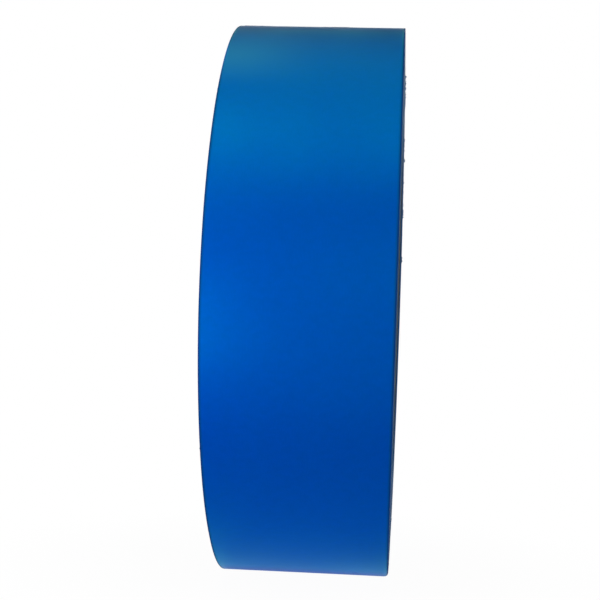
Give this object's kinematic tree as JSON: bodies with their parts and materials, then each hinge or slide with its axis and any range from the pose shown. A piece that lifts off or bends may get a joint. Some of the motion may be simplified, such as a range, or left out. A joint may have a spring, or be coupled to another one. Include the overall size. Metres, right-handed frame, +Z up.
{
  "type": "masking tape roll",
  "caption": "Roll of blue crepe-paper masking tape wound on a spiral paperboard core, with a loose outer end that peels away.",
  "frame": {"origin": "on the roll's axis, halfway across the tape's width", "axes": "+X along the roll's axis, +Z up; -Y is the front, the side of the tread that the picture shows, and the loose end of the tape lies just behind the top"},
  "size_m": [0.038, 0.1279, 0.1279],
  "materials": {
    "tape": "satin",
    "core_liner": "matte",
    "core_board": "matte",
    "core_wrap": "matte"
  },
  "bodies": {
    "roll": {"core_liner": "core_liner", "core_ply_1": "core_board", "core_ply_2": "core_board", "core_ply_3": "core_board", "core_ply_4": "core_board", "core_wrap": "core_wrap", "wound_tape": "tape"},
    "tape_end_1": {"tape_end_1": "tape"},
    "tape_end_2": {"tape_end_2": "tape"},
    "tape_end_3": {"tape_end_3": "tape"},
    "tape_end_4": {"tape_end_4": "tape"},
    "tape_end_5": {"tape_end_5": "tape"},
    "tape_end_6": {"tape_end_6": "tape"},
    "tape_end_7": {"tape_end_7": "tape"},
    "tape_end_8": {"tape_end_8": "tape"}
  },
  "joints": [
    {"name": "peel", "type": "hinge", "parent": "roll", "child": "tape_end_1", "pos_m": [0, 0.05176, 0.0376], "axis": [-1, 0, 0], "range_deg": [0, 60]},
    {"name": "bend_2", "type": "hinge", "parent": "tape_end_1", "child": "tape_end_2", "pos_m": [0, 0.04641, 0.04404], "axis": [-1, 0, 0], "range_deg": [0, 18]},
    {"name": "bend_3", "type": "hinge", "parent": "tape_end_2", "child": "tape_end_3", "pos_m": [0, 0.04027, 0.04972], "axis": [-1, 0, 0], "range_deg": [0, 13.2]},
    {"name": "bend_4", "type": "hinge", "parent": "tape_end_3", "child": "tape_end_4", "pos_m": [0, 0.03343, 0.05456], "axis": [-1, 0, 0], "range_deg": [0, 10.2]},
    {"name": "bend_5", "type": "hinge", "parent": "tape_end_4", "child": "tape_end_5", "pos_m": [0, 0.02603, 0.05846], "axis": [-1, 0, 0], "range_deg": [0, 7.8]},
    {"name": "bend_6", "type": "hinge", "parent": "tape_end_5", "child": "tape_end_6", "pos_m": [0, 0.01817, 0.06136], "axis": [-1, 0, 0], "range_deg": [0, 6]},
    {"name": "bend_7", "type": "hinge", "parent": "tape_end_6", "child": "tape_end_7", "pos_m": [0, 0.01001, 0.06321], "axis": [-1, 0, 0], "range_deg": [0, 4.8]},
    {"name": "bend_8", "type": "hinge", "parent": "tape_end_7", "child": "tape_end_8", "pos_m": [0, 0.00168, 0.06398], "axis": [-1, 0, 0], "range_deg": [0, 3.6]}
  ],
  "couplings": [
    {"joint": "bend_2", "follows": "peel", "ratio": 0.3},
    {"joint": "bend_3", "follows": "peel", "ratio": 0.22},
    {"joint": "bend_4", "follows": "peel", "ratio": 0.17},
    {"joint": "bend_5", "follows": "peel", "ratio": 0.13},
    {"joint": "bend_6", "follows": "peel", "ratio": 0.1},
    {"joint": "bend_7", "follows": "peel", "ratio": 0.08},
    {"joint": "bend_8", "follows": "peel", "ratio": 0.06}
  ]
}
